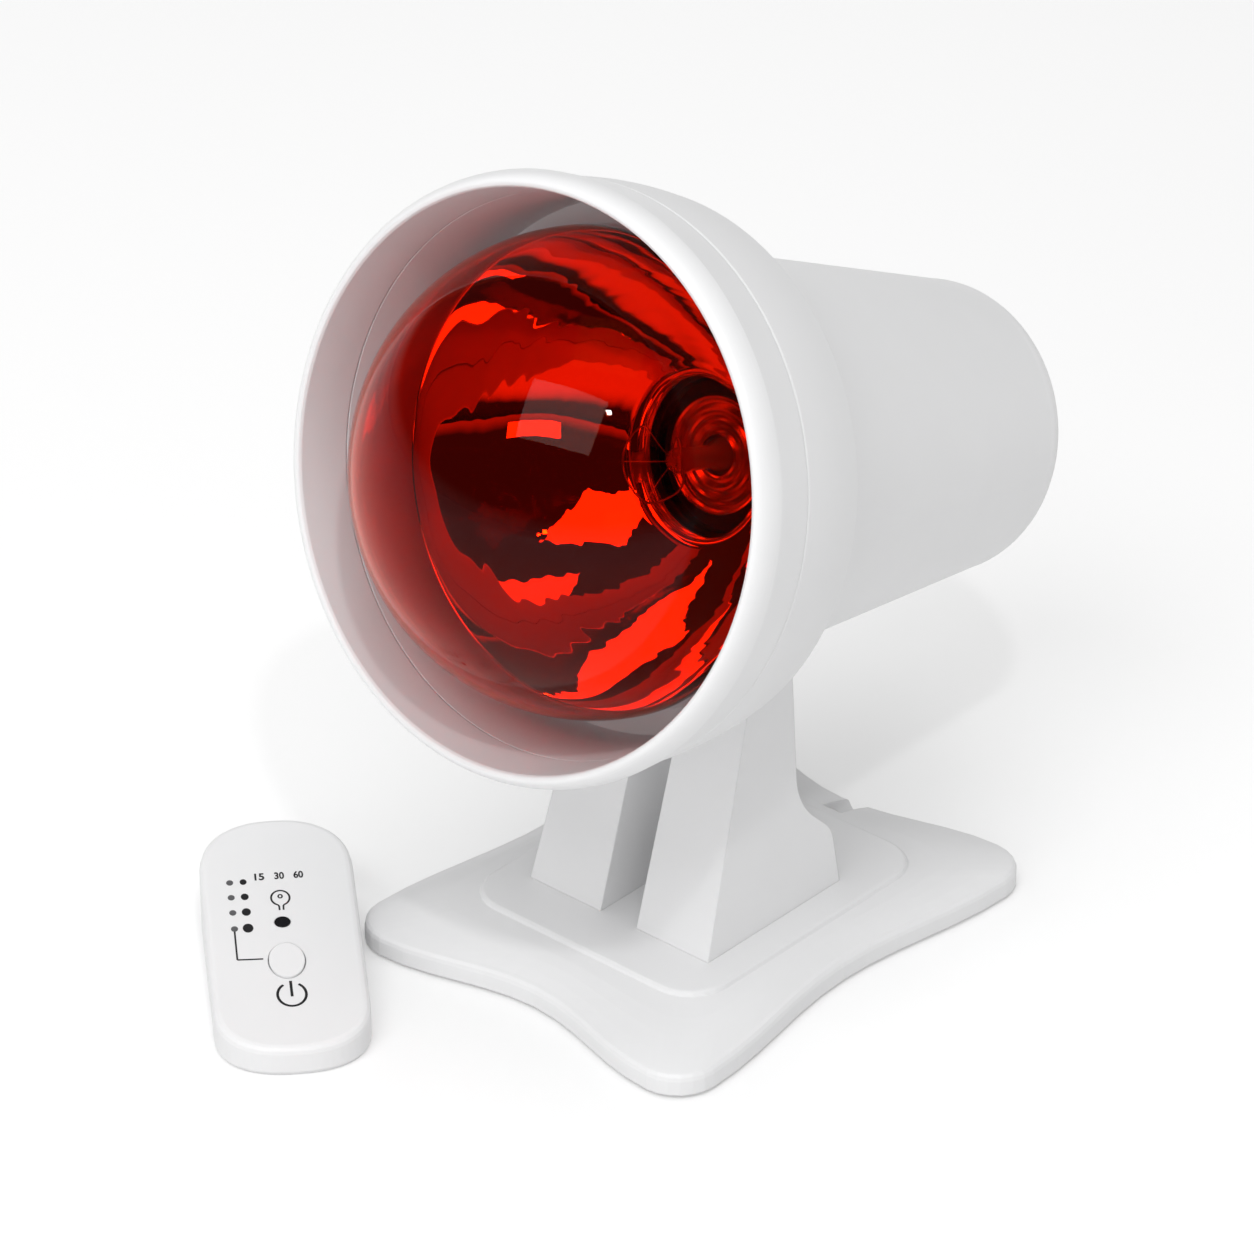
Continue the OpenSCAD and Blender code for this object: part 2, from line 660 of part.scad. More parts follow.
ledge_d = house_end - cap_t;
ledge_t = 2;
inner_round = [for (i = [10:-1:0]) house_round_line(10, house_wall)[i]];
ledge_out = cap_r + sqrt(pow(house_round - house_wall, 2)
    - pow(ledge_d - ledge_t - house_end + house_round, 2));
module lamp_housing() color(white) in_head() difference() {
    union() {
        rotate_extrude($fn = 128) polygon(concat(
            [[house_r - house_wall, -web_d], [house_r + 0.3, -web_d + flange_t],
            [flange_r, -web_d + flange_t],
            [flange_r, -web_d], [house_r, -web_d], [house_r, -shade_l]],
            house_round_line(10, 0),
            [[cap_r, -ledge_d], [cap_r - cap_ledge, -ledge_d],
            [cap_r - cap_ledge, -ledge_d + ledge_t], [ledge_out, -ledge_d + ledge_t]],
            [for (p = inner_round) if (p[1] > -ledge_d + ledge_t + 0.2) p],
            [[house_r - house_wall, -shade_l]]));
        intersection() {
            house_form(house_wall / 2);
            for (s = [-1, 1]) translate([s * bracket_screw, 0, -house_end])
                cylinder(r = boss_r, h = house_end - bracket_d - bracket_t);
        }
    }
    for (s = [-1, 1]) translate([s * bracket_screw, 0, -bracket_d - bracket_t - 7])
        cylinder(r = m3_pilot, h = 8);
    for (s = [-1, 1]) translate([0, s * cap_screw, -house_end]) cylinder(r = 0.9, h = 9);
    translate([0, 0, -house_end - 1]) cylinder(r = cap_r, h = cap_t + 1);
    at_collar_screws() cylinder(r = 1.15, h = 9);
    at_lug_screws() translate([0, 0, -3]) cylinder(r = m4_free, h = 9);
    at_lug_screws() cylinder(r = m4_head_r + 0.3, h = 9);
}

cap_screw = cap_r - cap_ledge / 2 - 0.1;
slots = floor((cap_r - cap_ledge - 2) / vent_pitch);
module rear_cap() color(white) in_head() difference() {
    translate([0, 0, -house_end]) cylinder(r = cap_r - cap_gap, h = cap_t);
    for (i = [-slots:slots]) let (y = i * vent_pitch,
        h = sqrt(pow(cap_r - cap_ledge - 1.2, 2) - y * y))
        translate([-h, y - vent_w / 2, -house_end - 1]) cube([2 * h, vent_w, cap_t + 2]);
    for (s = [-1, 1]) translate([0, s * cap_screw, -house_end - 1]) {
        cylinder(r = 1.1, h = cap_t + 2);
        cylinder(r = 1.9, h = 2);
    }
}

module rear_cap_screws() color(steel) in_head() for (s = [-1, 1])
    translate([0, s * cap_screw, -house_end + 1]) screw(0.9, cap_t + ledge_t - 1.4, 1.7, 0.9);

// The lug's side view: X of this plane is the head's own axis, Y is up
lug_w = pillar_gap - 2 * (washer_t + 2 * side_gap);
lug_pad = 17;
module lug_view() difference() {
    polygon(concat([[-pivot_back - lug_pad, -house_at(pivot_back) + 8]],
        [for (i = [0:24]) let (a = 180 + 7.5 * i)
            [-pivot_back + lug_r * cos(a), -pivot_drop + lug_r * sin(a)]],
        [[-pivot_back + lug_pad, -house_at(pivot_back) + 8]]));
    translate([-pivot_back, -pivot_drop]) circle(r = pin_r + pin_run);
}

module tilt_lug() color(white) in_head() difference() {
    translate([-lug_w / 2, 0, 0]) rotate([0, -90, 180]) mirror([0, 1, 0])
        linear_extrude(lug_w) lug_view();
    house_form(-0.02);
    at_lug_screws() translate([0, 0, -lug_screw_l - 0.5]) cylinder(r = m4_pilot, h = 20);
}

lug_screw_l = house_wall + 5.5;
lug_screw_ds = [pivot_back - 7.5, pivot_back + 7.5];
module at_lug_screws() {
    for (d = lug_screw_ds) translate([0, -house_at(d) + house_wall, -d])
        rotate([-90 + atan(house_slope), 0, 0]) children();
}

// Screws from inside the housing down into the lug
module lug_screws() color(steel) in_head() at_lug_screws()
    rotate([180, 0, 0]) screw(m4_pilot, lug_screw_l, m4_head_r, m4_head_h);

// ---- bulb ------------------------------------------------------------

// The bulb's place is worked out forwards from the lampholder's bracket
contact_h = 1.4;
bracket_d = house_end - rear_space;
holder_floor = bracket_d - holder_end;
cap_end = holder_floor - 1.2 - contact_h - 2;

neck_d = bulb_d + bulb_cone;
neck_end = cap_end - screw_cap_l;
rear_pts = 14;

// The paraboloid: the radius squared falls from the shoulder to the neck with the depth u
function rear_r(u) = sqrt(pow(neck_r, 2) + (pow(bulb_r, 2) - pow(neck_r, 2)) * (1 - pow(u, bulb_full)));
function rear_slope(u) = -(pow(bulb_r, 2) - pow(neck_r, 2)) * bulb_full
    * pow(u, bulb_full - 1) / (2 * rear_r(u) * bulb_cone);

// The bulb's rear line from its greatest radius to the end of its neck, in by q
function paraboloid_line(q, n) = [for (i = [0:n]) let (u = pow(i / n, 1.2), m = rear_slope(u),
    k = sqrt(1 + m * m)) [rear_r(u) - q / k, -bulb_d - bulb_cone * u - q * m / k]];
function bulb_rear_line(q) = concat(paraboloid_line(q, rear_pts),
    [[neck_r - 1 - q, -neck_d - 3], [neck_r - 3 - q, -neck_end + 8],
    [screw_cap_r + 1 - q, -neck_end + 1.5], [screw_cap_r - 1.5 - q, -neck_end]]);

function dome_line(q, n) = [for (i = [0:n]) let (a = 90 * i / n)
    [(bulb_r - q) * sin(a), -bulb_d + (bulb_dome - q) * cos(a)]];

module bulb_glass() color(red) in_head() rotate_extrude($fn = 128) polygon(concat(
    dome_line(0, 16), bulb_rear_line(0),
    [for (i = [len(bulb_rear_line(0)) - 1:-1:0]) bulb_rear_line(glass_t)[i]],
    [for (i = [16:-1:0]) dome_line(glass_t, 16)[i]]));

// The mirror lines the paraboloid from the shoulder to the neck
mirror_end = rear_pts + 1;
module bulb_mirror() color(steel) in_head() rotate_extrude($fn = 128) polygon(concat(
    [for (i = [1:mirror_end]) bulb_rear_line(glass_t + 0.05)[i]],
    [for (i = [mirror_end:-1:1]) bulb_rear_line(glass_t + 0.05 + mirror_t)[i]]));

filament_at = bulb_d + filament_d;
tip_at = filament_at + stem_back;
module bulb_stem() color(stone) in_head() rotate_extrude() polygon([
    [0, -neck_end + 0.5], [screw_cap_r - 1.6 - glass_t - 0.4, -neck_end + 0.5],
    [screw_cap_r - 3 - glass_t, -neck_end + 5], [5, -neck_end + 14], [4.6, -neck_end + 20],
    [4.6, -tip_at - 20], [3.5, -tip_at - 16], [3.4, -tip_at - 5], [3.9, -tip_at - 3],
    [3.6, -tip_at - 0.8], [2.8, -tip_at], [0, -tip_at]]);

// A pressed disc that shields the cap from the filament's heat
disc_at = neck_d + disc_back;
disc_in = 5.2;
function disc_line(z) = [for (i = [0:16]) let (r = disc_in + (disc_r - disc_in) * i / 16)
    [r, -disc_at + z + 0.5 * cos(1080 * i / 16)]];
module heat_disc() color(steel) in_head() rotate_extrude() polygon(concat(
    disc_line(0), [for (i = [16:-1:0]) disc_line(0.5)[i]]));

filament_span = 300;
support_run = filament_r - 1.5;
support_rise = stem_back - 0.4;
module bulb_supports() color(steel) in_head()
    for (i = [0:supports - 1]) rotate([0, 0, 120 + filament_span * i / (supports - 1)])
        translate([1.5, 0, -tip_at + 0.4]) rotate([0, atan2(support_run, support_rise), 0])
            cylinder(r = 0.35, h = norm([support_run, support_rise]) - filament_wire - 0.1, $fn = 16);

module bulb_filament() color(grey) in_head() rotate([0, 0, 120])
    translate([0, 0, -filament_at]) rotate_extrude(angle = filament_span)
        translate([filament_r, 0]) circle(r = filament_wire, $fn = 16);

// The screw shell's thread is drawn as its round crests and roots
thread_pitch = 3.6;
threads = floor((screw_cap_l - 7) / thread_pitch);
module bulb_cap() color(brass) in_head() rotate_extrude() polygon(concat(
    [[screw_cap_r - 1.6, -neck_end - 0.02], [screw_cap_r, -neck_end - 0.02],
    [screw_cap_r, -neck_end - 4]],
    [for (i = [0:threads * 4]) [screw_cap_r - 0.55 + 0.55 * cos(90 * i),
        -neck_end - 4 - thread_pitch * i / 4]],
    [[screw_cap_r - 2.4, -cap_end], [screw_cap_r - 3.4, -cap_end],
    [screw_cap_r - 2.2, -neck_end - 4]]));

module bulb_insulator() color(dark) in_head() rotate_extrude() polygon([
    [0, -cap_end + 0.8], [screw_cap_r - 3.45, -cap_end + 0.8], [screw_cap_r - 3.45, -cap_end - 0.01],
    [screw_cap_r - 2.6, -cap_end - 0.01], [5, -cap_end - 2], [0, -cap_end - 2]]);

module bulb_contact() color(brass) in_head() rotate_extrude() polygon([
    [0, -cap_end - 2.01], [4.4, -cap_end - 2.01], [3.6, -cap_end - 2 - contact_h * 0.8],
    [2, -cap_end - 2 - contact_h], [0, -cap_end - 2 - contact_h]]);

// ---- lampholder ------------------------------------------------------

holder_mouth = neck_end + 3;

module lampholder() color(stone) in_head() difference() {
    translate([0, 0, -bracket_d]) rotate_extrude() polygon([
        [0, 0], [holder_r - 1.5, 0], [holder_r - 1.5, 16], [holder_r, 18],
        [holder_r, bracket_d - holder_mouth - 1], [holder_r - 1, bracket_d - holder_mouth],
        [0, bracket_d - holder_mouth]]);
    translate([0, 0, -holder_floor]) cylinder(r = screw_cap_r + holder_gap, h = screw_cap_l + 20);
    for (s = [-1, 1]) translate([s * holder_screw, 0, -bracket_d - 1])
        cylinder(r = m4_pilot, h = 7);
}

holder_screw = 9;
module holder_contact() color(brass) in_head() translate([0, 0, -holder_floor]) {
    translate([-3, -6, 0]) cube([6, 12, 0.5]);
    translate([0, 0, 0.5]) cylinder(r = 3, h = 0.7);
}

module holder_bracket() color(steel) in_head() difference() {
    translate([-bracket_screw - 5, -bracket_w / 2, -bracket_d - bracket_t])
        cube([2 * bracket_screw + 10, bracket_w, bracket_t]);
    for (s = [-1, 1]) translate([s * bracket_screw, 0, -house_end]) cylinder(r = m3_free, h = 50);
    for (s = [-1, 1]) translate([s * holder_screw, 0, -house_end]) cylinder(r = m4_free, h = 50);
}

module bracket_screws() color(steel) in_head() for (s = [-1, 1])
    translate([s * bracket_screw, 0, -bracket_d]) rotate([180, 0, 0])
        screw(m3_pilot, 6, m3_head_r, m3_head_h);

module holder_screws() color(steel) in_head() for (s = [-1, 1])
    translate([s * holder_screw, 0, -bracket_d - bracket_t])
        screw(m4_pilot, bracket_t + 5, m4_head_r, m4_head_h);

// ---- handset: X along its length from the near end, Y to its left -----

module in_remote() translate([remote_x, remote_y, -foot_out]) rotate([0, 0, remote_turn])
    children();

remote_rise = tan(remote_slope);
function face_z(u) = remote_t0 + u * remote_rise;

// The handset's outline: straight sides and full round ends, in by d
near_bow = 17;
far_bow = 20;
function round_end(u0, s, bow, d, a0, n) = [for (i = [0:n]) let (a = a0 + 180 * i / n)
    [u0 + s * (bow - d) * pow(abs(cos(a)), 0.84),
    (remote_w / 2 - d) * sign(sin(a)) * pow(abs(sin(a)), 0.84)]];
function remote_line(d) = concat(
    round_end(remote_l - far_bow, 1, far_bow, d, -90, 24),
    [for (i = [24:-1:0]) round_end(near_bow, -1, near_bow, d, -90, 24)[i]]);

// Rings of the handset: flat below, round at the edge of the sloping face
function remote_top(d, down) = [for (p = remote_line(d)) [p[0], p[1], face_z(p[0]) - down]];

module remote_form(in, floor) loft(concat(
    [lift(remote_line(in + 0.8), floor), lift(remote_line(in), floor + 1.2)],
    [for (a = [0:30:90]) remote_top(in + remote_edge_r * (1 - cos(a)),
        in + remote_edge_r * (1 - sin(a)))]));

module oval(w, l) polygon([for (i = [0:47]) let (a = 7.5 * i) [l / 2 * cos(a), w / 2 * sin(a)]]);

// On the sloping face at u, +Z square to the face
module on_face(u) translate([u, 0, face_z(u)]) rotate([0, -remote_slope, 0]) children();

door_end = remote_l - 1;
door_start = door_end - door_l;
button_u = door_start - button_ahead;
lens_u = button_u + lens_apart;
back_t = 1.6;
back_lift = 0.2;

module door_slot(gap, h, z) translate([door_start - gap, -door_w / 2 - gap, z])
    cube([remote_l, door_w + 2 * gap, h]);

module remote_shell() color(white) in_remote() difference() {
    union() {
        difference() {
            remote_form(0, 0);
            remote_form(remote_wall, -3);
        }
        at_remote_bosses() intersection() {
            cylinder(r = 2.6, h = 40);
            translate([0, 0, back_lift + back_t + seat_gap])
                cylinder(r = 2.6, h = boss_top(0));
        }
    }
    on_face(button_u) translate([0, 0, -8]) linear_extrude(20)
        oval(button_w, button_l);
    on_face(lens_u) translate([0, 0, -8]) cylinder(r = lens_r + 0.1, h = 20);
    door_slot(door_gap, back_lift + door_t + door_gap, 0);
    at_remote_bosses() cylinder(r = 0.9, h = boss_top(0) - 1);
}

remote_boss_u = 8;
function boss_top(u) = face_z(remote_boss_u) - remote_wall * 0.7 - back_lift - back_t;
module at_remote_bosses() {
    for (s = [-1, 1]) translate([remote_boss_u + 1.5, s * 9, 0]) children();
}

module remote_back() color(white) in_remote() translate([0, 0, back_lift]) difference() {
    linear_extrude(back_t) polygon(remote_line(remote_wall + 0.25));
    translate([0, 0, -back_lift]) door_slot(door_gap, 40, -5);
    at_remote_bosses() translate([0, 0, -1]) cylinder(r = 1.2, h = back_t + 2);
    at_remote_bosses() translate([0, 0, -1]) cylinder(r = 2.1, h = 1.9);
}

module remote_back_screws() color(steel) in_remote() at_remote_bosses()
    translate([0, 0, back_lift + 0.9]) screw(0.9, 4, 1.9, 0.8);

remote_board_drop = 5;
remote_board_t = 1.2;
board_near = 12.4;
board_far = door_start - 0.5;
module remote_board() color(board_green) in_remote() on_face(0)
    translate([board_near, -12, -remote_board_drop - remote_board_t])
        cube([board_far - board_near, 24, remote_board_t]);

module remote_switch() color(steel) in_remote() on_face(button_u)
    translate([0, 0, -remote_board_drop]) {
        cylinder(r = 3, h = 0.2);
        cylinder(r1 = 2.6, r2 = 1.8, h = 0.4);
    }

module remote_lens() color(dark) in_remote() on_face(lens_u) {
    translate([0, 0, -remote_wall - 0.1]) cylinder(r = lens_r, h = remote_wall + 0.2);
    translate([0, 0, -remote_wall - 0.7]) cylinder(r = lens_r + 0.8, h = 0.6);
}

cell_r = 5.2;
cell_l = 43;
cell_u = door_start + 2.2;
cell_z = back_lift + door_t + 0.15 + cell_r;
cell_y = cell_r + 0.25;
module remote_cells() color(grey) in_remote() for (s = [-1, 1])
    translate([cell_u, s * cell_y, cell_z]) rotate([0, 90, 0]) {
        cylinder(r = cell_r, h = cell_l);
        if (s > 0) translate([0, 0, cell_l]) cylinder(r = 1.8, h = 0.8);
        else translate([0, 0, -0.8]) cylinder(r = 1.8, h = 0.8);
    }

module battery_contacts() color(steel) in_remote() for (s = [-1, 1]) {
    translate([cell_u - 1.3, s * cell_y - 4, cell_z - 4]) cube([0.4, 8, 7.4]);
    translate([cell_u + cell_l + 0.9, s * cell_y - 4, cell_z - 4]) cube([0.4, 8, 8]);
}

module remote_button() color(white) in_remote() on_face(button_u) {
    translate([0, 0, -remote_wall - 0.1]) linear_extrude(remote_wall + 0.1 + button_out)
        oval(button_w - 2 * button_gap, button_l - 2 * button_gap);
    translate([0, 0, -remote_wall - 0.9]) linear_extrude(0.8) oval(button_w + 2, button_l + 1.2);
    translate([0, 0, -remote_board_drop + 0.5 + button_travel])
        cylinder(r = 2, h = remote_board_drop - remote_wall - 0.8 - button_travel - 0.5);
}

module battery_door() color(white) in_remote() translate([0, 0, back_lift])
    linear_extrude(door_t) intersection() {
        translate([door_start, -door_w / 2]) square([door_l + 5, door_w]);
        polygon(remote_line(0.8));
    }

base_cover();
base_plate();
rubber_feet();
base_screws();
ballast();
control_board();
board_parts();
board_screws();
cord_gland();
left_pillar();
right_pillar();
pillar_screws();
pivot_pin();
friction_washers();
tilt_lug();
lug_screws();
front_shade();
shade_collar();
collar_screws();
lamp_housing();
rear_cap();
rear_cap_screws();
holder_bracket();
bracket_screws();
lampholder();
holder_screws();
holder_contact();
bulb_glass();
bulb_mirror();
bulb_stem();
heat_disc();
bulb_supports();
bulb_filament();
bulb_cap();
bulb_insulator();
bulb_contact();
remote_shell();
remote_back();
remote_back_screws();
remote_board();
remote_switch();
remote_lens();
remote_cells();
battery_contacts();
remote_button();
battery_door();
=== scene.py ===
"""Looks for the infrared heat therapy lamp and its handset.

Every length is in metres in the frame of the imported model: the origin is the middle of the
base plate's underside, +Z is up and the lamp faces -Y.
"""

from __future__ import annotations

import json
import logging
import math
from dataclasses import dataclass
from enum import Enum
from typing import Sequence

import bpy
import numpy as np
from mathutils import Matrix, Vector

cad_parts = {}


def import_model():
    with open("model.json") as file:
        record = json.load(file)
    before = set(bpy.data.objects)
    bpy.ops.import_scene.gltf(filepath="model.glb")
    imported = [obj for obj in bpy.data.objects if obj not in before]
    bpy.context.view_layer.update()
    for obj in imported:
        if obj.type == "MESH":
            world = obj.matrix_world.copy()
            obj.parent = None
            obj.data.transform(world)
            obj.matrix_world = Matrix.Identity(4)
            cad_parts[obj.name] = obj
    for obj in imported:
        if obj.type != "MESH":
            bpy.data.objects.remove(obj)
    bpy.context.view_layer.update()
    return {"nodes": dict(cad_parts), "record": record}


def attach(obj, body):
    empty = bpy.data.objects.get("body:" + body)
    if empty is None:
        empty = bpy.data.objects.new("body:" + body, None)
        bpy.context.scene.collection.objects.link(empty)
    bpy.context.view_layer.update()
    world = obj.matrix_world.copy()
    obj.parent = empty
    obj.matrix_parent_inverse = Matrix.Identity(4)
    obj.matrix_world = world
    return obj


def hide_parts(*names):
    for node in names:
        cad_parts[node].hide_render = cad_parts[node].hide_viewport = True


LOG = logging.getLogger("heat_lamp")
MM = 0.001
Colour = tuple[float, float, float]
Array = np.ndarray


# ---- materials ---------------------------------------------------------


class Wire:
    """Builds one node tree with short calls."""

    def __init__(self, name: str) -> None:
        """Makes an empty material with its output node.

        Args:
            name: the material's name.
        """
        self.material = bpy.data.materials.new(name)
        self.material.use_nodes = True
        self.tree = self.material.node_tree
        self.tree.nodes.clear()
        self.out = self.tree.nodes.new("ShaderNodeOutputMaterial")

    def node(self, kind: str, **values: object) -> bpy.types.Node:
        """Adds a node; a value goes to the socket or the property of that name.

        Args:
            kind: the node's type name.
            **values: sockets, with _ for a space, or properties.

        Returns:
            The new node.
        """
        made = self.tree.nodes.new(kind)
        for key, value in values.items():
            socket = made.inputs.get(key.replace("_", " "))
            if socket is None:
                setattr(made, key, value)
            elif isinstance(value, bpy.types.NodeSocket):
                self.tree.links.new(value, socket)
            else:
                socket.default_value = value
        return made

    def join(self, source: bpy.types.NodeSocket, target: bpy.types.NodeSocket) -> None:
        """Links an output to an input."""
        self.tree.links.new(source, target)

    def place(self) -> bpy.types.NodeSocket:
        """Gives the Object coordinates, in metres."""
        return self.node("ShaderNodeTexCoord").outputs["Object"]

    def noise(self, scale: float, detail: float = 2.0, rough: float = 0.5) -> bpy.types.NodeSocket:
        """Gives a noise in 0 to 1 on Object coordinates.

        Args:
            scale: cycles to the metre.
            detail: octaves.
            rough: weight of the finer octaves.

        Returns:
            The noise's value.
        """
        made = self.node("ShaderNodeTexNoise", Scale=scale, Detail=detail, Roughness=rough)
        self.join(self.place(), made.inputs["Vector"])
        return made.outputs["Fac"]

    def ramp(self, value: bpy.types.NodeSocket, stops: Sequence[tuple[float, Colour]]) -> bpy.types.NodeSocket:
        """Maps a value to a colour through stops.

        Args:
            value: the value from 0 to 1.
            stops: pairs of place and colour, in order.

        Returns:
            The colour.
        """
        made = self.node("ShaderNodeValToRGB")
        made.color_ramp.elements[0].position = stops[0][0]
        made.color_ramp.elements[0].color = (*stops[0][1], 1.0)
        made.color_ramp.elements[1].position = stops[-1][0]
        made.color_ramp.elements[1].color = (*stops[-1][1], 1.0)
        for spot, colour in stops[1:-1]:
            made.color_ramp.elements.new(spot).color = (*colour, 1.0)
        self.join(value, made.inputs["Fac"])
        return made.outputs["Color"]

    def math(self, operation: str, *values: object) -> bpy.types.NodeSocket:
        """Runs one Math operation on sockets or numbers."""
        made = self.node("ShaderNodeMath")
        made.operation = operation
        for spot, value in enumerate(values):
            if isinstance(value, bpy.types.NodeSocket):
                self.join(value, made.inputs[spot])
            else:
                made.inputs[spot].default_value = value
        return made.outputs[0]

    def finish(self, shader: bpy.types.Node) -> bpy.types.Material:
        """Ends the tree at a shader and gives the material."""
        self.join(shader.outputs[0], self.out.inputs["Surface"])
        return self.material


@dataclass(frozen=True)
class MouldedPlastic:
    """Moulded plastic: a fine spark-eroded grain, soft edges and a faint mottle."""

    name: str
    colour: Colour
    roughness: float = 0.42
    edge: float = 0.5 * MM
    grain: float = 0.05
    grain_scale: float = 2600.0
    mottle: float = 0.012

    def material(self) -> bpy.types.Material:
        """Builds the material."""
        wire = Wire(self.name)
        low = tuple(c * (1.0 - self.mottle) for c in self.colour)
        base = wire.ramp(wire.noise(55.0, 3.0), [(0.3, low), (0.7, self.colour)])
        soft = wire.node("ShaderNodeBevel", samples=6, Radius=self.edge)
        bump = wire.node("ShaderNodeBump", Strength=self.grain, Distance=0.02 * MM)
        wire.join(wire.noise(self.grain_scale, 1.0), bump.inputs["Height"])
        wire.join(soft.outputs[0], bump.inputs["Normal"])
        shader = wire.node("ShaderNodeBsdfPrincipled", Roughness=self.roughness)
        wire.join(base, shader.inputs["Base Color"])
        wire.join(bump.outputs[0], shader.inputs["Normal"])
        return wire.finish(shader)


@dataclass(frozen=True)
class WorkedMetal:
    """Sheet or turned metal with fine drawn lines."""

    name: str
    colour: Colour
    roughness: float = 0.3
    lines: float = 0.06

    def material(self) -> bpy.types.Material:
        """Builds the material."""
        wire = Wire(self.name)
        dark = tuple(c * 0.8 for c in self.colour)
        base = wire.ramp(wire.noise(300.0, 4.0), [(0.3, dark), (0.7, self.colour)])
        bump = wire.node("ShaderNodeBump", Strength=self.lines, Distance=0.03 * MM)
        wire.join(wire.noise(1800.0, 3.0), bump.inputs["Height"])
        shader = wire.node("ShaderNodeBsdfPrincipled", Roughness=self.roughness, Metallic=1.0)
        wire.join(base, shader.inputs["Base Color"])
        wire.join(bump.outputs[0], shader.inputs["Normal"])
        return wire.finish(shader)


@dataclass(frozen=True)
class RubyGlass:
    """Ruby glass that passes red light only, with faint draw marks from its blowing."""

    name: str
    colour: Colour
    waves: float = 0.03
    roughness: float = 0.0
    clear: float = 1.0
    ior: float = 1.5

    def material(self) -> bpy.types.Material:
        """Builds the material."""
        wire = Wire(self.name)
        bump = wire.node("ShaderNodeBump", Strength=self.waves, Distance=0.4 * MM)
        wire.join(wire.noise(40.0, 1.0), bump.inputs["Height"])
        shader = wire.node(
            "ShaderNodeBsdfPrincipled",
            Roughness=self.roughness,
            IOR=self.ior,
            Transmission_Weight=self.clear,
            Base_Color=(*self.colour, 1.0),
        )
        wire.join(bump.outputs[0], shader.inputs["Normal"])
        return wire.finish(shader)


@dataclass(frozen=True)
class MirrorLining:
    """Bright aluminium on blown glass, with the blowing's rings and slow waves.

    The rings are a noise on (x, y, k r) in the head's axes, which is slow round the axis and
    quick away from it.
    """

    name: str
    colour: Colour
    centre: tuple[float, float, float] = (0.0, -38.2 * MM, 144.6 * MM)
    tilt: float = 17.1
    rings: float = 0.13 * MM
    waves: float = 1.1 * MM

    def material(self) -> bpy.types.Material:
        """Builds the material."""
        wire = Wire(self.name)
        turned = wire.node("ShaderNodeMapping", vector_type="TEXTURE")
        turned.inputs["Location"].default_value = self.centre
        turned.inputs["Rotation"].default_value = (math.radians(90.0 - self.tilt), 0.0, 0.0)
        wire.join(wire.place(), turned.inputs["Vector"])
        parts = wire.node("ShaderNodeSeparateXYZ")
        wire.join(turned.outputs[0], parts.inputs[0])
        x, y = parts.outputs["X"], parts.outputs["Y"]
        far = wire.math("SQRT", wire.math("ADD", wire.math("MULTIPLY", x, x), wire.math("MULTIPLY", y, y)))
        made = wire.node("ShaderNodeCombineXYZ")
        for spot, (value, rate) in enumerate(((x, 14.0), (y, 14.0), (far, 230.0))):
            wire.join(wire.math("MULTIPLY", value, rate), made.inputs[spot])
        rings = wire.node("ShaderNodeTexNoise", Scale=1.0, Detail=1.0, Distortion=0.3)
        wire.join(made.outputs[0], rings.inputs["Vector"])
        slow = wire.node("ShaderNodeBump", Strength=1.0, Distance=self.waves)
        wire.join(wire.noise(34.0, 1.0), slow.inputs["Height"])
        quick = wire.node("ShaderNodeBump", Strength=1.0, Distance=self.rings)
        wire.join(rings.outputs["Fac"], quick.inputs["Height"])
        wire.join(slow.outputs[0], quick.inputs["Normal"])
        shader = wire.node(
            "ShaderNodeBsdfPrincipled", Roughness=0.02, Metallic=1.0, Base_Color=(*self.colour, 1.0)
        )
        wire.join(quick.outputs[0], shader.inputs["Normal"])
        return wire.finish(shader)


class Finish(Enum):
    """The finishes of the lamp, by the record's slot."""

    white_body = MouldedPlastic("white_plastic", (0.86, 0.86, 0.865))
    white_trim = MouldedPlastic("white_gloss", (0.88, 0.88, 0.885), roughness=0.34)
    white_rubber = MouldedPlastic("gland_rubber", (0.78, 0.78, 0.77), roughness=0.6)
    black_rubber = MouldedPlastic("foot_rubber", (0.04, 0.04, 0.042), roughness=0.75)
    steel = WorkedMetal("screw_steel", (0.66, 0.67, 0.69))
    ballast_steel = WorkedMetal("ballast_iron", (0.2, 0.2, 0.21), roughness=0.6)
    board = MouldedPlastic("board_lacquer", (0.05, 0.22, 0.1), roughness=0.35)
    board_part = MouldedPlastic("relay_black", (0.03, 0.03, 0.032), roughness=0.5)
    black_plastic = MouldedPlastic("black_gloss", (0.012, 0.012, 0.014), roughness=0.12)
    nylon = MouldedPlastic("washer_nylon", (0.1, 0.1, 0.105), roughness=0.6)
    red_glass = RubyGlass("ruby_glass", (0.9, 0.085, 0.006), ior=1.19)
    clear_glass = RubyGlass("stem_glass", (0.98, 0.93, 0.88), roughness=0.05, clear=0.7)
    mirror_lining = MirrorLining("mirror", (0.9, 0.9, 0.9))
    tungsten = WorkedMetal("tungsten", (0.62, 0.6, 0.57), roughness=0.3)
    cap_brass = WorkedMetal("brass", (0.72, 0.55, 0.25))
    ceramic_body = MouldedPlastic("ceramic", (0.82, 0.79, 0.73), roughness=0.3)
    cell_wrap = WorkedMetal("cell_can", (0.3, 0.32, 0.35))


DISC = WorkedMetal("pressed_aluminium", (0.85, 0.85, 0.86), roughness=0.22, lines=0.03)
DARK_INK = MouldedPlastic("dark_ink", (0.02, 0.02, 0.022), roughness=0.5, grain=0.02)
GREY_INK = MouldedPlastic("grey_ink", (0.12, 0.12, 0.125), roughness=0.5, grain=0.02)


# ---- stage -------------------------------------------------------------


@dataclass(frozen=True)
class SoftBox:
    """A soft box: its direction from the bulb, its distance, size and power in watts.

    Bright surfaces show it where it is mirrored, and the glass also lets it show in the
    lining where it is through.
    """

    name: str
    towards: tuple[float, float, float]
    distance: float
    size: tuple[float, float]
    power: float
    mirrored: bool = True
    through: bool = False


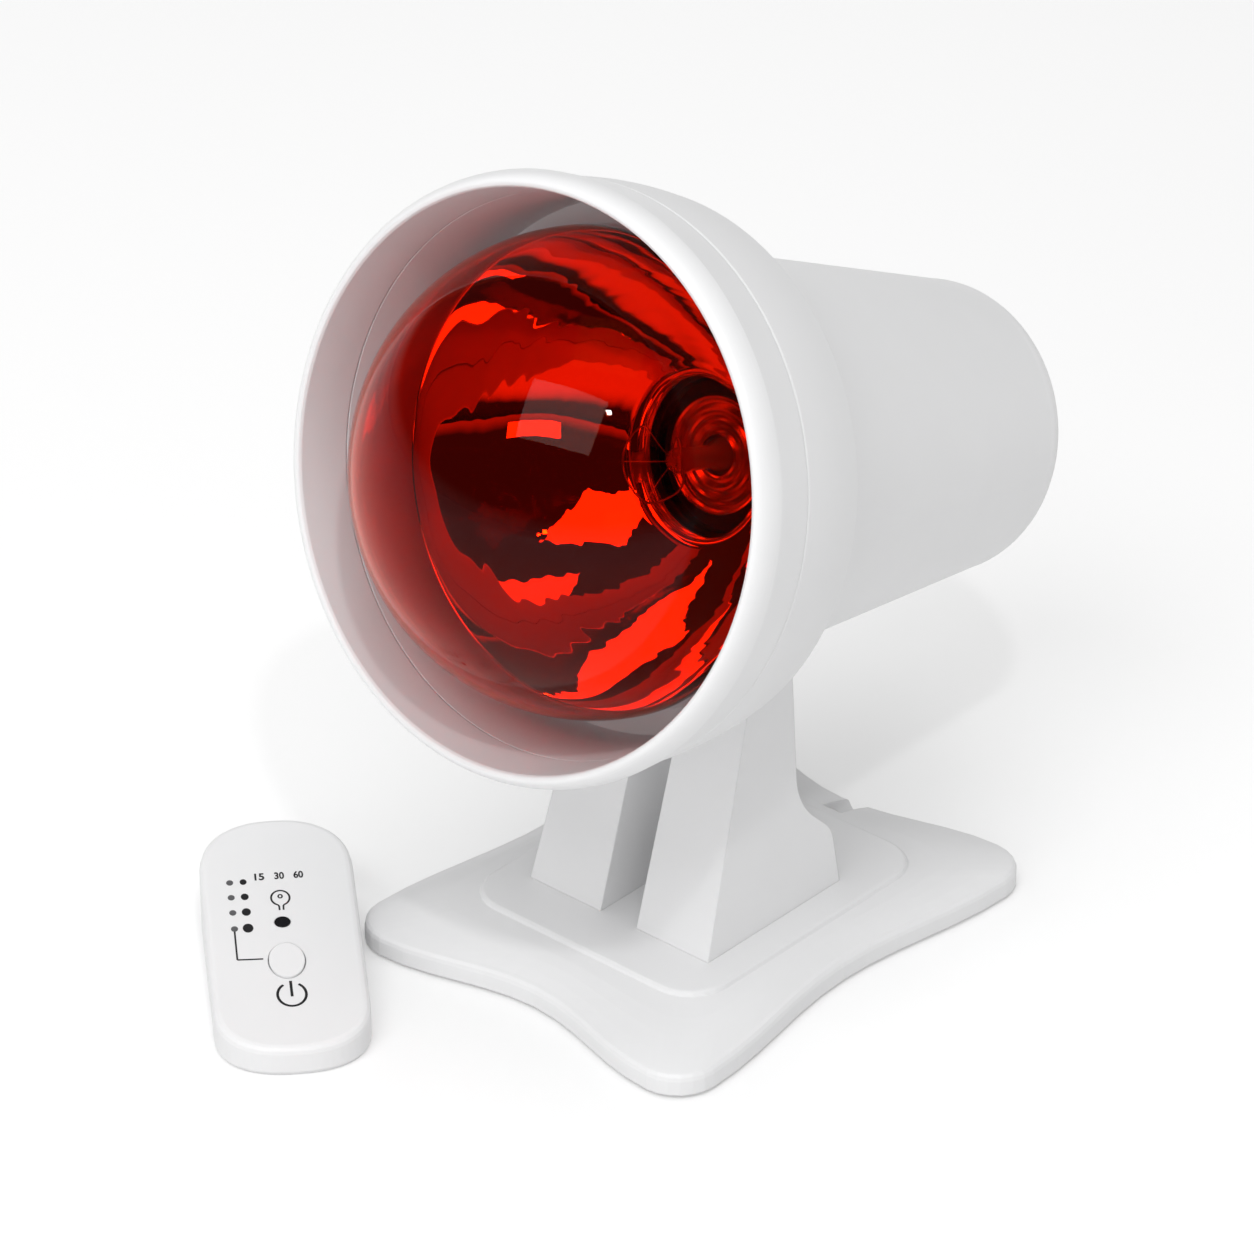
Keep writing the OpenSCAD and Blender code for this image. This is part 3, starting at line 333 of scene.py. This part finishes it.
@dataclass(frozen=True)
class Studio:
    """The table, the light and the camera at the photograph's angle."""

    floor_z: float = -1.0 * MM
    floor_glow: float = 0.28
    fill: float = 0.5
    gloom: float = 0.05
    table: tuple[float, float] = (0.35, 0.9)
    table_reach: float = 12.0
    centre: tuple[float, float, float] = (0.0, -0.038, 0.145)
    boxes: tuple[SoftBox, ...] = (
        SoftBox("key", (0.16, -0.6, 0.77), 2.2, (1.4, 1.05), 15.5),
        SoftBox("spark", (0.437, -0.371, 0.819), 2.2, (0.09, 0.09), 6.0),
        SoftBox("front", (0.25, -0.95, 0.2), 2.2, (1.2, 1.2), 7.0, mirrored=False),
        SoftBox("left", (-0.85, -0.1, 0.3), 2.2, (1.2, 1.2), 3.0, mirrored=False),
        SoftBox("top", (0.08, 0.05, 1.0), 2.2, (1.1, 1.1), 9.0, mirrored=False, through=True),
        SoftBox("right", (0.75, -0.62, 0.12), 2.2, (0.5, 0.3), 1.5, mirrored=False, through=True),
    )
    eye: tuple[float, float, float] = (0.87935, -1.01713, 0.87157)
    pitch: float = 30.353
    heading: float = 41.573
    lens: float = 177.31

    def camera(self) -> None:
        """Sets the camera."""
        data = bpy.data.cameras.new("camera")
        data.lens = self.lens
        data.sensor_width = 36.0
        seat = bpy.data.objects.new("camera", data)
        seat.location = self.eye
        seat.rotation_euler = (math.radians(90.0 - self.pitch), 0.0, math.radians(self.heading))
        bpy.context.scene.collection.objects.link(seat)
        bpy.context.scene.camera = seat

    def lamp(self, box: SoftBox) -> None:
        """Hangs one soft box.

        Args:
            box: its facts.
        """
        data = bpy.data.lights.new(box.name, "AREA")
        data.shape = "RECTANGLE"
        data.size, data.size_y = box.size
        data.energy = box.power
        hung = bpy.data.objects.new(box.name, data)
        aim, away = Vector(self.centre), Vector(box.towards).normalized()
        hung.location = aim + away * box.distance
        hung.rotation_euler = (-away).to_track_quat("-Z", "Y").to_euler()
        hung.visible_glossy = box.mirrored
        hung.visible_transmission = box.mirrored or box.through
        bpy.context.scene.collection.objects.link(hung)

    def floor(self) -> None:
        """Lays the white table: it keeps the shadows and adds a little light of its own; for rays through the
        glass it is painted near black beyond the table's span, a painted dark room in the bulb's reflections.
        """
        side = self.table_reach
        mesh = bpy.data.meshes.new("floor")
        spread = [(-side, -side), (side, -side), (side, side), (-side, side)]
        mesh.from_pydata([(x, y, self.floor_z) for x, y in spread], [], [(0, 1, 2, 3)])
        floor = bpy.data.objects.new("floor", mesh)
        bpy.context.scene.collection.objects.link(floor)
        wire = Wire("floor")
        shade = wire.node("ShaderNodeBsdfDiffuse", Color=(0.74, 0.74, 0.74, 1.0))
        glow = wire.node("ShaderNodeEmission", Color=(1.0, 1.0, 1.0, 1.0), Strength=self.floor_glow)
        both = wire.node("ShaderNodeAddShader")
        pick = wire.node("ShaderNodeMixShader")
        path = wire.node("ShaderNodeLightPath")
        seen = wire.math("MAXIMUM", path.outputs["Is Camera Ray"], path.outputs["Is Glossy Ray"])
        seen = wire.math("MAXIMUM", seen, path.outputs["Is Transmission Ray"])
        wire.join(seen, pick.inputs["Fac"])
        wire.join(shade.outputs[0], both.inputs[0])
        wire.join(glow.outputs[0], both.inputs[1])
        wire.join(shade.outputs[0], pick.inputs[1])
        wire.join(both.outputs[0], pick.inputs[2])
        spot = wire.node("ShaderNodeVectorMath", operation="LENGTH")
        wire.join(wire.place(), spot.inputs[0])
        away = wire.node("ShaderNodeMapRange", interpolation_type="SMOOTHSTEP")
        wire.join(spot.outputs["Value"], away.inputs["Value"])
        away.inputs["From Min"].default_value, away.inputs["From Max"].default_value = self.table
        # painted shade: beyond the table's span, rays through the glass see a near-black diffuse that stands in
        # for a dark room
        dim = wire.node("ShaderNodeMixShader")
        painted_dark_room = wire.node("ShaderNodeBsdfDiffuse", Color=(0.03, 0.03, 0.03, 1.0))
        wire.join(wire.math("MULTIPLY", away.outputs[0], path.outputs["Is Transmission Ray"]), dim.inputs["Fac"])
        wire.join(pick.outputs[0], dim.inputs[1])
        wire.join(painted_dark_room.outputs[0], dim.inputs[2])
        mesh.materials.append(wire.finish(dim))

    def room(self) -> None:
        """Makes the world: soft fill for matt surfaces, a dim room with a pale sweep for bright ones."""
        world = bpy.data.worlds.new("studio")
        bpy.context.scene.world = world
        world.use_nodes = True
        tree = world.node_tree
        tree.nodes.clear()
        out = tree.nodes.new("ShaderNodeOutputWorld")
        place = tree.nodes.new("ShaderNodeTexCoord")
        parts = tree.nodes.new("ShaderNodeSeparateXYZ")
        tree.links.new(place.outputs["Generated"], parts.inputs[0])
        ramp = tree.nodes.new("ShaderNodeValToRGB")
        steps = [(0.0, 0.5), (0.03, 0.4), (0.1, self.gloom), (1.0, self.gloom)]
        ramp.color_ramp.elements[0].position, ramp.color_ramp.elements[1].position = 0.0, 1.0
        for spot, _ in steps[1:-1]:
            ramp.color_ramp.elements.new(spot)
        for element, (_, tone) in zip(ramp.color_ramp.elements, steps):
            element.color = (tone, tone, tone, 1.0)
        tree.links.new(parts.outputs["Z"], ramp.inputs["Fac"])
        seen, fill = tree.nodes.new("ShaderNodeBackground"), tree.nodes.new("ShaderNodeBackground")
        tree.links.new(ramp.outputs["Color"], seen.inputs["Color"])
        fill.inputs["Color"].default_value = (1.0, 1.0, 1.0, 1.0)
        fill.inputs["Strength"].default_value = self.fill
        path, larger = tree.nodes.new("ShaderNodeLightPath"), tree.nodes.new("ShaderNodeMath")
        larger.operation = "MAXIMUM"
        tree.links.new(path.outputs["Is Glossy Ray"], larger.inputs[0])
        tree.links.new(path.outputs["Is Transmission Ray"], larger.inputs[1])
        pick = tree.nodes.new("ShaderNodeMixShader")
        tree.links.new(larger.outputs[0], pick.inputs["Fac"])
        tree.links.new(fill.outputs[0], pick.inputs[1])
        tree.links.new(seen.outputs[0], pick.inputs[2])
        tree.links.new(pick.outputs[0], out.inputs[0])

    def build(self) -> None:
        """Makes the camera, the table, the room and the soft boxes."""
        self.camera()
        self.floor()
        self.room()
        for box in self.boxes:
            self.lamp(box)


# ---- meshes ------------------------------------------------------------


def mesh_object(name: str, points: Array, faces: Sequence[Sequence[int]], finishes: Sequence[bpy.types.Material],
                picks: Sequence[int] | None = None) -> bpy.types.Object:
    """Makes one smooth object from points and faces.

    Args:
        name: the object's name.
        points: an array of n rows of x, y and z in metres.
        faces: each face's point numbers.
        finishes: its materials.
        picks: the material number of each face, or None.

    Returns:
        The new object.
    """
    mesh = bpy.data.meshes.new(name)
    mesh.from_pydata(points.tolist(), [], faces)
    for finish in finishes:
        mesh.materials.append(finish)
    mesh.polygons.foreach_set("use_smooth", [True] * len(mesh.polygons))
    if picks is not None:
        mesh.polygons.foreach_set("material_index", list(picks))
    mesh.update()
    made = bpy.data.objects.new(name, mesh)
    bpy.context.scene.collection.objects.link(made)
    LOG.info("made %s with %d faces", name, len(faces))
    return made


def revolve(profile: Array, turns: int, loop: bool) -> tuple[Array, list[list[int]]]:
    """Turns a profile about the head's axis.

    Point (i, j) is (r cos t, r sin t, z) for row i = (r, z) and the angle t = 2 pi j / turns.
    A row on the axis keeps one point, and its neighbours close to it with triangles.

    Args:
        profile: rows of radius and height.
        turns: points round the axis.
        loop: whether the last row joins the first.

    Returns:
        Points and faces.
    """
    angle = np.linspace(0.0, 2.0 * math.pi, turns, endpoint=False)
    points: list[Array] = []
    rows: list[Array] = []
    count = 0
    for radius, height in profile:
        if radius < 1e-7:
            points.append(np.array([[0.0, 0.0, height]]))
            rows.append(np.full(turns, count))
            count += 1
        else:
            points.append(np.stack([radius * np.cos(angle), radius * np.sin(angle), np.full(turns, height)], 1))
            rows.append(np.arange(count, count + turns))
            count += turns
    faces: list[list[int]] = []
    last = len(rows) if loop else len(rows) - 1
    for i in range(last):
        low, high = rows[i], rows[(i + 1) % len(rows)]
        if low[0] == low[1] and high[0] == high[1]:
            continue
        quads = np.stack([low, high, np.roll(high, -1), np.roll(low, -1)], 1)
        if low[0] == low[1]:
            quads = quads[:, :3]
        elif high[0] == high[1]:
            quads = quads[:, [0, 1, 3]]
        faces.extend(quads.tolist())
    return np.concatenate(points), faces


def tube(path: Array, radius: float, sides: int = 8) -> tuple[Array, list[list[int]]]:
    """Runs a round wire along a path.

    Each ring stands square to the path: its two axes are the tangent's cross products with
    the head's axis.

    Args:
        path: rows of x, y and z.
        radius: the wire's radius.
        sides: points to a ring.

    Returns:
        Points and faces.
    """
    run = np.gradient(path, axis=0)
    run /= np.linalg.norm(run, axis=1)[:, None]
    one = np.cross(run, (0.0, 0.0, 1.0))
    one /= np.linalg.norm(one, axis=1)[:, None]
    two = np.cross(run, one)
    a = np.linspace(0.0, 2.0 * math.pi, sides, endpoint=False)
    across = np.cos(a)[None, :, None] * one[:, None] + np.sin(a)[None, :, None] * two[:, None]
    rings = path[:, None] + radius * across
    rows = np.arange(len(path) * sides).reshape(len(path), sides)
    low, high = rows[:-1], rows[1:]
    quads = np.stack([low, high, np.roll(high, -1, 1), np.roll(low, -1, 1)], 2).reshape(-1, 4).tolist()
    return rings.reshape(-1, 3), quads + [rows[0].tolist(), rows[-1][::-1].tolist()]


# ---- the bulb ----------------------------------------------------------


@dataclass(frozen=True)
class Head:
    """Where the tilting head stands at rest, and its own axes."""

    pivot: tuple[float, float, float] = (0.0, -2.2 * MM, 70.0 * MM)
    tilt: float = 17.1
    drop: float = 60.7 * MM
    back: float = 84.7 * MM

    def place(self, points: Array) -> Array:
        """Carries points from the head's axes, with +Z out of the shade, to the lamp's frame."""
        turn = math.radians(90.0 - self.tilt)
        up, out = points[:, 1] + self.drop, points[:, 2] + self.back
        y = self.pivot[1] + up * math.cos(turn) - out * math.sin(turn)
        z = self.pivot[2] + up * math.sin(turn) + out * math.cos(turn)
        return np.stack([points[:, 0] + self.pivot[0], y, z], 1)


@dataclass(frozen=True)
class Filament:
    """The coiled wire, which sags between the hooks, and the hooks that the stem carries."""

    ring: float = 10.0 * MM
    depth: float = 52.0 * MM
    stem_tip: float = 59.6 * MM
    coil: float = 0.28 * MM
    hook: float = 0.16 * MM
    root: float = 1.2 * MM
    hooks: int = 5
    start: float = 120.0
    span: float = 300.0
    sag: float = 0.7 * MM

    def build(self, head: Head, metal: bpy.types.Material) -> None:
        """Builds the wire and its hooks."""
        t = np.linspace(0.0, 1.0, 120)
        a = np.radians(self.start + self.span * t)
        dip = self.sag * np.sin(math.pi * (self.hooks - 1) * t) ** 2
        path = np.stack([(self.ring - dip) * np.cos(a), (self.ring - dip) * np.sin(a), dip - self.depth], 1)
        points, faces = tube(path, self.coil)
        wire = mesh_object("filament_coil", head.place(points), faces, [metal])
        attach(wire, "head")
        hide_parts("bulb_filament")
        parts: list[Array] = []
        cells: list[list[int]] = []
        for k in range(self.hooks):
            b = math.radians(self.start + self.span * k / (self.hooks - 1))
            out = np.array([math.cos(b), math.sin(b), 0.0])
            w = np.linspace(0.0, 1.0, 16)[:, None]
            rise = -self.stem_tip + (self.stem_tip - self.depth) * w**0.6
            reach = self.root + (self.ring - self.root) * w
            points, faces = tube(out * reach + rise * (0.0, 0.0, 1.0), self.hook)
            cells.extend([[i + sum(map(len, parts)) for i in face] for face in faces])
            parts.append(points)
        hooks = mesh_object("filament_hooks", head.place(np.concatenate(parts)), cells, [metal])
        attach(hooks, "head")
        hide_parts("bulb_supports")


@dataclass(frozen=True)
class Bulb:
    """The blown envelope and its mirror lining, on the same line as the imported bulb.

    The front is half an ellipse from the tip to the greatest radius. Behind it the square of
    the radius falls with the depth u from shoulder to neck, so that the lining is nearly a
    paraboloid with the filament at its focus. Then the neck narrows to the cap.
    """

    radius: float = 60.5 * MM
    dome: float = 59.0 * MM
    depth: float = 28.4 * MM
    cone: float = 41.6 * MM
    neck: float = 21.5 * MM
    full: float = 1.12
    glass: float = 1.2 * MM
    lining: float = 0.35 * MM
    cap_radius: float = 13.2 * MM
    neck_end: float = 120.0 * MM
    turns: int = 256

    def front(self, inset: float) -> Array:
        """Gives the dome's rows from the tip to the greatest radius, in by inset."""
        a = np.linspace(0.0, 0.5 * math.pi, 56)
        return np.stack([(self.radius - inset) * np.sin(a), -self.depth + (self.dome - inset) * np.cos(a)], 1)

    def paraboloid(self, inset: float, count: int = 48) -> Array:
        """Gives the rear's rows from just behind the greatest radius to the neck."""
        u = (np.arange(1, count + 1) / count) ** 1.2
        drop = self.radius**2 - self.neck**2
        r = np.sqrt(self.neck**2 + drop * (1.0 - u**self.full))
        slope = -drop * self.full * u ** (self.full - 1.0) / (2.0 * r * self.cone)
        k = np.sqrt(1.0 + slope**2)
        return np.stack([r - inset / k, -self.depth - self.cone * u - inset * slope / k], 1)

    def throat(self, inset: float) -> Array:
        """Gives the neck's rows from the paraboloid to the cap."""
        t = np.linspace(0.12, 1.0, 12)
        start = self.depth + self.cone
        r = self.neck + (self.cap_radius - 1.2 * MM - self.neck) * t**1.6
        return np.stack([r - inset, -start - (self.neck_end - start) * t], 1)

    def stem(self) -> Array:
        """Gives the rows of the hollow stem tube: its outside from the tip, then its inside."""
        out = np.array([(0.0, 59.0), (1.6, 59.1), (2.7, 59.7), (3.3, 60.8), (3.5, 62.4), (3.1, 64.4), (3.0, 73.0),
                        (3.2, 75.2), (4.3, 77.0), (4.6, 79.0), (4.6, 98.0), (5.0, 104.0), (7.0, 110.5),
                        (9.0, 115.0), (10.0, 119.5)])
        inn = np.array([(0.0, 60.0), (1.2, 60.1), (2.0, 60.7), (2.3, 62.0), (2.1, 64.4), (2.1, 73.0),
                        (2.3, 75.2), (3.4, 77.2), (3.7, 79.0), (3.7, 98.0), (4.1, 104.4), (6.1, 111.0),
                        (8.1, 115.5), (9.1, 119.5)])
        return np.concatenate([out, inn[::-1]]) * (MM, -MM)

    def build(self, head: Head, glass: bpy.types.Material, mirror: bpy.types.Material,
              clear: bpy.types.Material) -> None:
        """Builds the envelope, the lining and the stem."""
        points, faces = revolve(self.stem(), 96, False)
        stem = mesh_object("bulb_stem_tube", head.place(points), faces, [clear])
        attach(stem, "head")
        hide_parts("bulb_stem")
        outer = np.concatenate([self.front(0.0), self.paraboloid(0.0), self.throat(0.0)])
        inner = np.concatenate([self.front(self.glass), self.paraboloid(self.glass), self.throat(self.glass)])
        points, faces = revolve(np.concatenate([outer, inner[::-1]]), self.turns, False)
        envelope = mesh_object("bulb_envelope", head.place(points), faces, [glass])
        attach(envelope, "head")
        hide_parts("bulb_glass")
        near, far = self.glass + 0.05 * MM, self.glass + 0.05 * MM + self.lining
        rows = [np.concatenate([self.paraboloid(q), self.throat(q)[:2]]) for q in (near, far)]
        points, faces = revolve(np.concatenate([rows[0], rows[1][::-1]]), self.turns, True)
        lining = mesh_object("bulb_lining", head.place(points), faces, [mirror])
        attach(lining, "head")
        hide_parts("bulb_mirror")


# ---- the handset's marks -----------------------------------------------


@dataclass(frozen=True)
class Face:
    """The handset's sloping face: u runs up it from the near end, v to its left."""

    near: tuple[float, float, float] = (-24.0 * MM, -122.0 * MM, 7.0 * MM)
    turn: float = 138.5
    slope: float = 8.6
    lift: float = 0.04 * MM

    def place(self, flat: Array) -> Array:
        """Carries rows of u and v to the lamp's frame, a hair above the face."""
        t, s = math.radians(self.turn), math.radians(self.slope)
        along = np.array([math.cos(t) * math.cos(s), math.sin(t) * math.cos(s), math.sin(s)])
        across = np.array([-math.sin(t), math.cos(t), 0.0])
        up = np.cross(along, across)
        return np.array(self.near) + flat[:, :1] * along + flat[:, 1:2] * across + self.lift * up


class Stencil:
    """Collects flat printed marks on the handset's face, in millimetres."""

    def __init__(self) -> None:
        """Starts with no marks."""
        self.points: list[Array] = []
        self.faces: list[list[int]] = []
        self.inks: list[int] = []
        self.count = 0

    def add(self, points: Array, faces: Sequence[Sequence[int]], ink: int) -> None:
        """Adds one mark.

        Args:
            points: rows of u and v in millimetres.
            faces: its faces, by its own point numbers.
            ink: 0 for the dark ink, 1 for the grey ink.
        """
        self.points.append(np.asarray(points, float))
        self.faces.extend([[i + self.count for i in face] for face in faces])
        self.inks.extend([ink] * len(faces))
        self.count += len(points)

    def disc(self, u: float, v: float, width: float, length: float, ink: int = 0) -> None:
        """Adds a filled oval, width along v and length along u."""
        a = np.linspace(0.0, 2.0 * math.pi, 40, endpoint=False)
        self.add(np.stack([u + 0.5 * length * np.cos(a), v + 0.5 * width * np.sin(a)], 1), [list(range(40))], ink)

    def stroke(self, path: Array, width: float, ink: int = 0) -> None:
        """Adds a line of even width along a path, its ends square."""
        path = np.asarray(path, float)
        run = np.gradient(path, axis=0)
        side = np.stack([-run[:, 1], run[:, 0]], 1) / np.linalg.norm(run, axis=1)[:, None]
        n = len(path)
        both = np.concatenate([path + side * width / 2.0, path - side * width / 2.0])
        self.add(both, [[i, i + 1, n + i + 1, n + i] for i in range(n - 1)], ink)

    def arc(self, u: float, v: float, width: float, length: float, start: float, end: float, line: float) -> None:
        """Adds part of an oval's outline, by angles from the far side in degrees."""
        a = np.radians(np.linspace(start, end, 48))
        self.stroke(np.stack([u + 0.5 * length * np.cos(a), v + 0.5 * width * np.sin(a)], 1), line)

    def digits(self, text: str, u: float, v: float, width: float, height: float) -> None:
        """Adds plain digits in Blender's own typeface, centred, readable from the near end."""
        curve = bpy.data.curves.new("digits", "FONT")
        curve.body = text
        curve.offset = 0.03
        seat = bpy.data.objects.new("digits", curve)
        flat = seat.to_mesh()
        xy = np.empty(len(flat.vertices) * 3)
        flat.vertices.foreach_get("co", xy)
        xy = xy.reshape(-1, 3)[:, :2]
        low, high = xy.min(axis=0), xy.max(axis=0)
        unit = (xy - (low + high) / 2.0) / (high - low)
        faces = [list(face.vertices) for face in flat.polygons]
        self.add(np.stack([u + unit[:, 1] * height, v - unit[:, 0] * width], 1), faces, 0)
        seat.to_mesh_clear()
        bpy.data.objects.remove(seat)
        bpy.data.curves.remove(curve)


@dataclass(frozen=True)
class Marks:
    """The handset's printed marks: timer dots, minutes, lamp sign, leader line and power sign."""

    rows: tuple[float, ...] = (64.0, 58.25, 52.4, 46.2)
    sizes: tuple[float, ...] = (1.75, 2.0, 2.3, 2.7)
    minutes: tuple[tuple[str, float], ...] = (("15", 4.6), ("30", -0.5), ("60", -5.4))
    minutes_row: float = 65.6
    digit_size: tuple[float, float] = (2.5, 2.7)
    lamp_column: float = 12.3
    lamp_size: tuple[float, float] = (1.8, 2.1)
    dot_column: float = 8.85
    dot_stretch: float = 1.25
    middle: float = -0.15
    power_middle: tuple[float, float] = (20.3, -0.3)

    def build(self, face: Face, dark: bpy.types.Material, grey: bpy.types.Material) -> None:
        """Prints the marks on the face."""
        ink = Stencil()
        for u, size in zip(self.rows, self.sizes):
            ink.disc(u, self.lamp_column, *self.lamp_size, 1)
            ink.disc(u, self.dot_column, size, self.dot_stretch * size)
        for text, v in self.minutes:
            ink.digits(text, self.minutes_row, v, *self.digit_size)
        ink.arc(57.0, self.middle, 4.7, 5.6, -158.0, 158.0, 0.5)
        for side in (-1.0, 1.0):
            neck = [(54.45, 0.85), (53.9, 0.55), (52.3, 0.5)]
            ink.stroke([(u, self.middle + side * v) for u, v in neck], 0.45)
        ink.arc(57.6, self.middle, 1.0, 1.3, 0.0, 360.0, 0.42)
        ink.stroke([(45.2, 12.35), (40.0, 12.37), (34.45, 12.4)], 0.46)
        ink.stroke([(34.45, 12.4), (34.3, 9.0), (34.2, 5.9)], 0.5)
        ink.arc(*self.power_middle, 7.2, 8.6, 32.0, 328.0, 0.7)
        ink.stroke([(u, self.power_middle[1]) for u in (25.3, 22.0, 19.5)], 0.7)
        points = face.place(np.concatenate(ink.points) * MM)
        print_piece = mesh_object("face_print", points, ink.faces, [dark, grey], ink.inks)
        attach(print_piece, "stand")


# ---- the lamp ----------------------------------------------------------


def dress(frame: dict) -> None:
    """Gives every CAD node the finish of its slot.
    """
    made: dict[str, bpy.types.Material] = {}
    for row in frame["record"]["subparts"]:
        name, slot = row["node"], row["material_slot"]
        if slot not in made:
            made[slot] = Finish[slot].value.material()
        mesh = frame["nodes"][name].data
        mesh.materials.clear()
        mesh.materials.append(made[slot])
        LOG.info("dressed %s in %s", name, slot)
    disc = frame["nodes"]["heat_disc"].data
    disc.materials.clear()
    disc.materials.append(DISC.material())


def main() -> None:
    """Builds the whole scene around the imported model."""
    logging.basicConfig(level=logging.INFO, format="%(message)s")
    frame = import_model()
    Studio().build()
    dress(frame)
    Bulb().build(Head(), Finish.red_glass.value.material(), Finish.mirror_lining.value.material(),
                 Finish.clear_glass.value.material())
    Filament().build(Head(), Finish.tungsten.value.material())
    Marks().build(Face(), DARK_INK.material(), GREY_INK.material())
    bpy.context.scene.view_settings.view_transform = "Standard"


if __name__ == "__main__":
    main()
